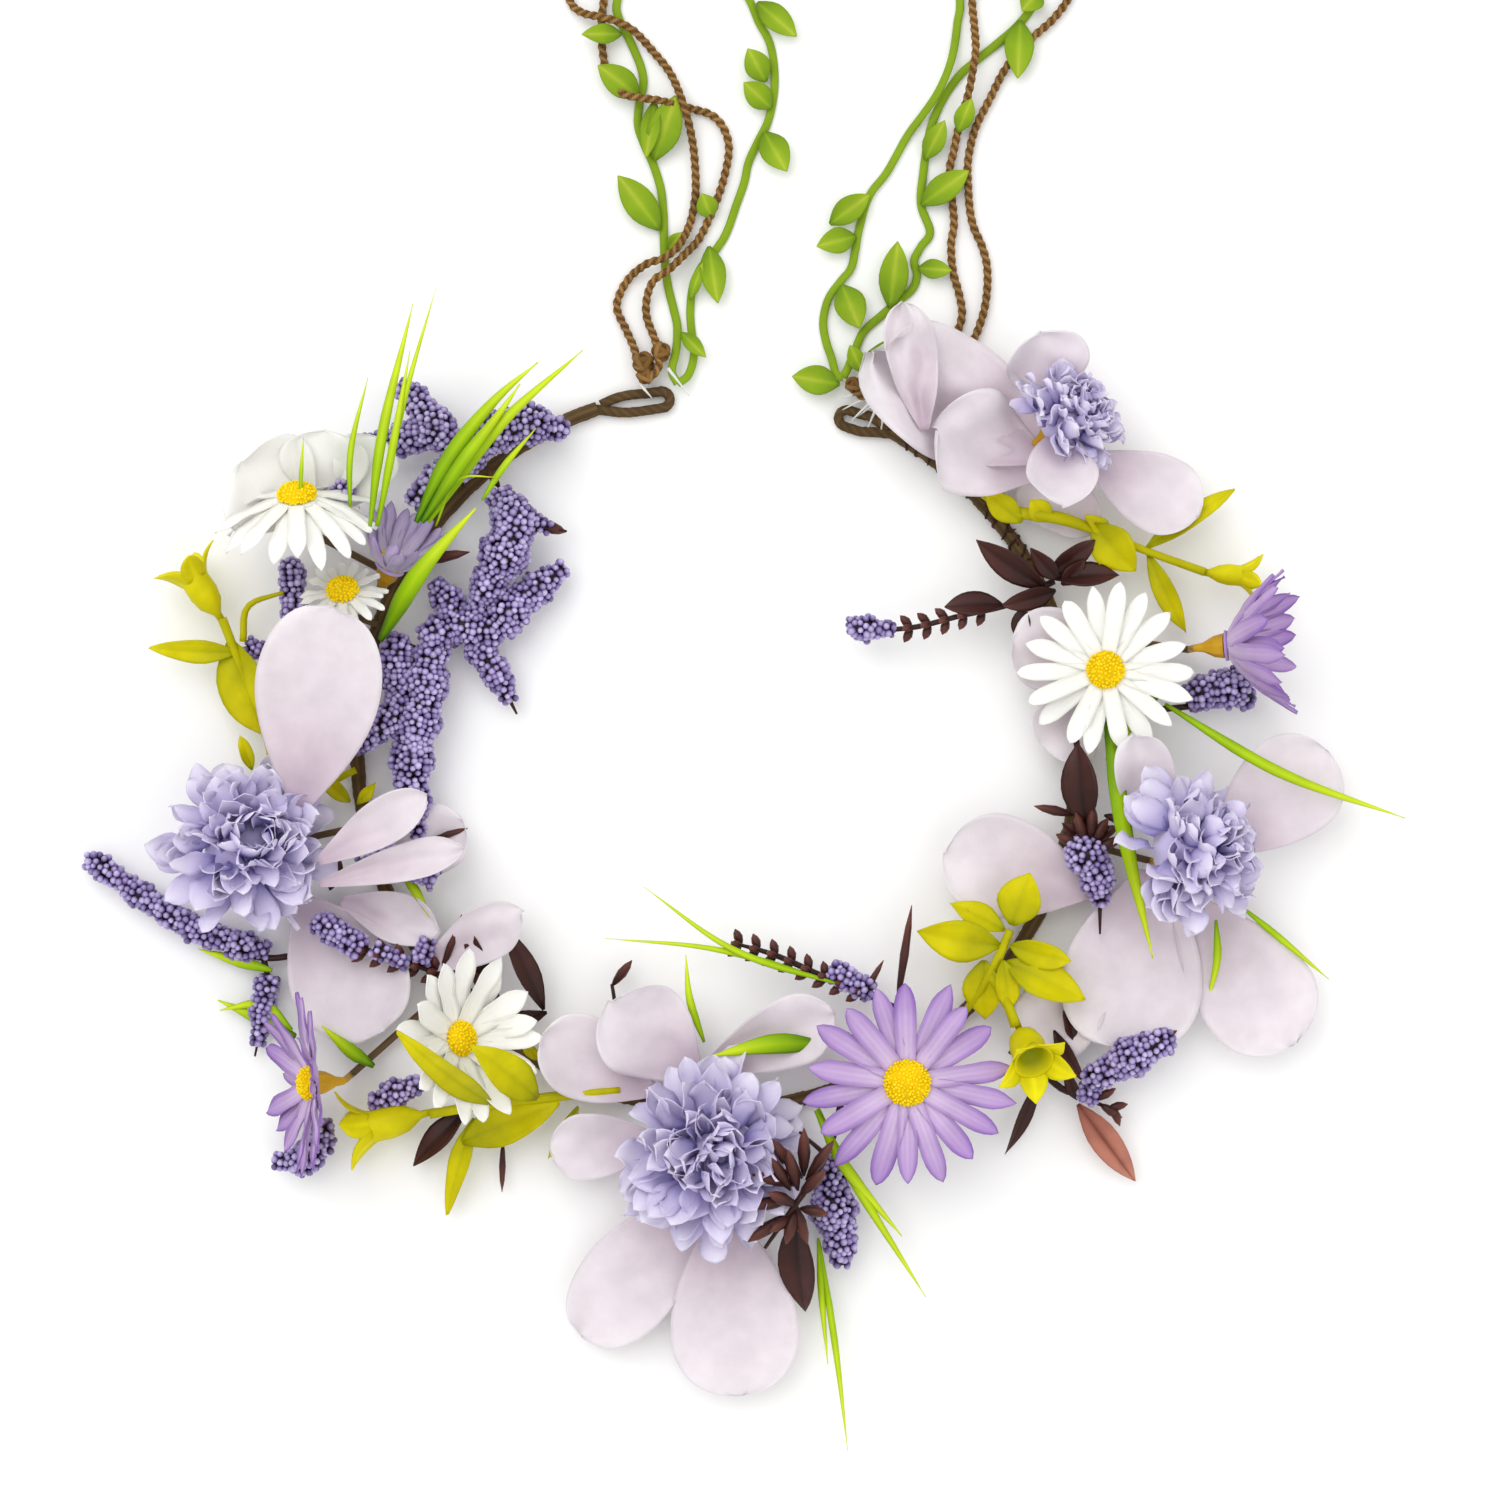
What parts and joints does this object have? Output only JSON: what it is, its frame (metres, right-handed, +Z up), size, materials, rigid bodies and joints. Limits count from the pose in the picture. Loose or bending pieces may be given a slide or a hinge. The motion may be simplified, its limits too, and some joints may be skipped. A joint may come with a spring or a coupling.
{
  "type": "flower crown",
  "caption": "Open wire ring wrapped in florist's tape, dressed with artificial daisies, pompon flowers, silk blossoms, bead sprays and grass, with jute and leaf-ribbon ties.",
  "frame": {"origin": "bottom centre of the crown's box, ties left out, with the crown lying flat", "axes": "+Z up, away from the table and towards the flowers' faces; +Y from the front of the crown to its open, tied end; +X across it"},
  "size_m": [0.3636, 0.4546, 0.0529],
  "materials": {
    "wire": "satin",
    "florist_tape": "matt",
    "button": "granular",
    "calyx": "satin",
    "white_petal": "matt",
    "lilac_petal": "matt",
    "pompon_petal": "matt",
    "silk": "sheer",
    "beads": "satin",
    "lime_plastic": "satin",
    "grass_plastic": "satin",
    "jute": "rough",
    "leaf_ribbon": "matt",
    "stored_ties": "rough"
  },
  "bodies": {
    "crown": {"ring_wire": "wire", "ring_tape": "florist_tape", "white_daisy_upper_left_button": "button", "white_daisy_upper_left_calyx": "calyx", "white_daisy_left_button": "button", "white_daisy_left_calyx": "calyx", "white_daisy_low_left_button": "button", "white_daisy_low_left_calyx": "calyx", "white_daisy_upper_right_button": "button", "white_daisy_upper_right_calyx": "calyx", "lilac_daisy_upper_left_button": "button", "lilac_daisy_upper_left_calyx": "calyx", "lilac_daisy_low_left_button": "button", "lilac_daisy_low_left_calyx": "calyx", "lilac_daisy_bottom_button": "button", "lilac_daisy_bottom_calyx": "calyx", "lilac_daisy_right_button": "button", "lilac_daisy_right_calyx": "calyx", "pompon_left_head": "pompon_petal", "pompon_left_calyx": "calyx", "pompon_bottom_head": "pompon_petal", "pompon_bottom_calyx": "calyx", "pompon_right_head": "pompon_petal", "pompon_right_calyx": "calyx", "pompon_top_right_head": "pompon_petal", "pompon_top_right_calyx": "calyx", "silk_blossom_left": "silk", "silk_blossom_bottom": "silk", "silk_blossom_right": "silk", "silk_blossom_top_right": "silk", "silk_blossom_upper_left": "silk", "bead_spray_upper_left": "beads", "bead_spray_inner_left": "beads", "bead_spray_far_left": "beads", "bead_spray_low_left": "beads", "bead_spray_bottom": "beads", "bead_spray_right": "beads", "bead_spray_low_right": "beads", "bead_spray_upper_right": "beads", "bell_pick_left": "lime_plastic", "bell_pick_low_left": "lime_plastic", "bell_pick_low_right": "lime_plastic", "bell_pick_upper_right": "lime_plastic", "grass_tuft_left": "grass_plastic", "grass_tuft_bottom": "grass_plastic", "grass_tuft_right": "grass_plastic", "jute_tie_left": "jute", "jute_tie_right": "jute", "leaf_tie_left": "leaf_ribbon", "leaf_tie_right": "leaf_ribbon", "tie_coil_left": "stored_ties", "tie_coil_right": "stored_ties"},
    "white_daisy_upper_left": {"white_daisy_upper_left_petals": "white_petal"},
    "white_daisy_left": {"white_daisy_left_petals": "white_petal"},
    "white_daisy_low_left": {"white_daisy_low_left_petals": "white_petal"},
    "white_daisy_upper_right": {"white_daisy_upper_right_petals": "white_petal"},
    "lilac_daisy_upper_left": {"lilac_daisy_upper_left_petals": "lilac_petal"},
    "lilac_daisy_low_left": {"lilac_daisy_low_left_petals": "lilac_petal"},
    "lilac_daisy_bottom": {"lilac_daisy_bottom_petals": "lilac_petal"},
    "lilac_daisy_right": {"lilac_daisy_right_petals": "lilac_petal"}
  },
  "joints": [
    {"name": "white_daisy_upper_left_turn", "type": "hinge", "parent": "crown", "child": "white_daisy_upper_left", "pos_m": [-0.119, 0.099, 0.0325], "axis": [-0.0302, 0.8655, 0.5], "continuous": true},
    {"name": "white_daisy_left_turn", "type": "hinge", "parent": "crown", "child": "white_daisy_left", "pos_m": [-0.108, 0.0745, 0.0215], "axis": [-0.056, 0.6403, 0.766], "continuous": true},
    {"name": "white_daisy_low_left_turn", "type": "hinge", "parent": "crown", "child": "white_daisy_low_left", "pos_m": [-0.077, -0.045, 0.0255], "axis": [0.6948, 0.1862, 0.6947], "continuous": true},
    {"name": "white_daisy_upper_right_turn", "type": "hinge", "parent": "crown", "child": "white_daisy_upper_right", "pos_m": [0.097, 0.054, 0.0235], "axis": [-0.1736, 0, 0.9848], "continuous": true},
    {"name": "lilac_daisy_upper_left_turn", "type": "hinge", "parent": "crown", "child": "lilac_daisy_upper_left", "pos_m": [-0.0965, 0.082, 0.012], "axis": [0.4145, 0.7796, 0.4695], "continuous": true},
    {"name": "lilac_daisy_low_left_turn", "type": "hinge", "parent": "crown", "child": "lilac_daisy_low_left", "pos_m": [-0.115, -0.0565, 0.028], "axis": [-0.9266, -0.0324, 0.3746], "continuous": true},
    {"name": "lilac_daisy_bottom_turn", "type": "hinge", "parent": "crown", "child": "lilac_daisy_bottom", "pos_m": [0.0435, -0.0565, 0.0245], "axis": [0, -0.1045, 0.9945], "continuous": true},
    {"name": "lilac_daisy_right_turn", "type": "hinge", "parent": "crown", "child": "lilac_daisy_right", "pos_m": [0.129, 0.0605, 0.024], "axis": [0.9679, 0.0677, 0.2419], "continuous": true}
  ]
}
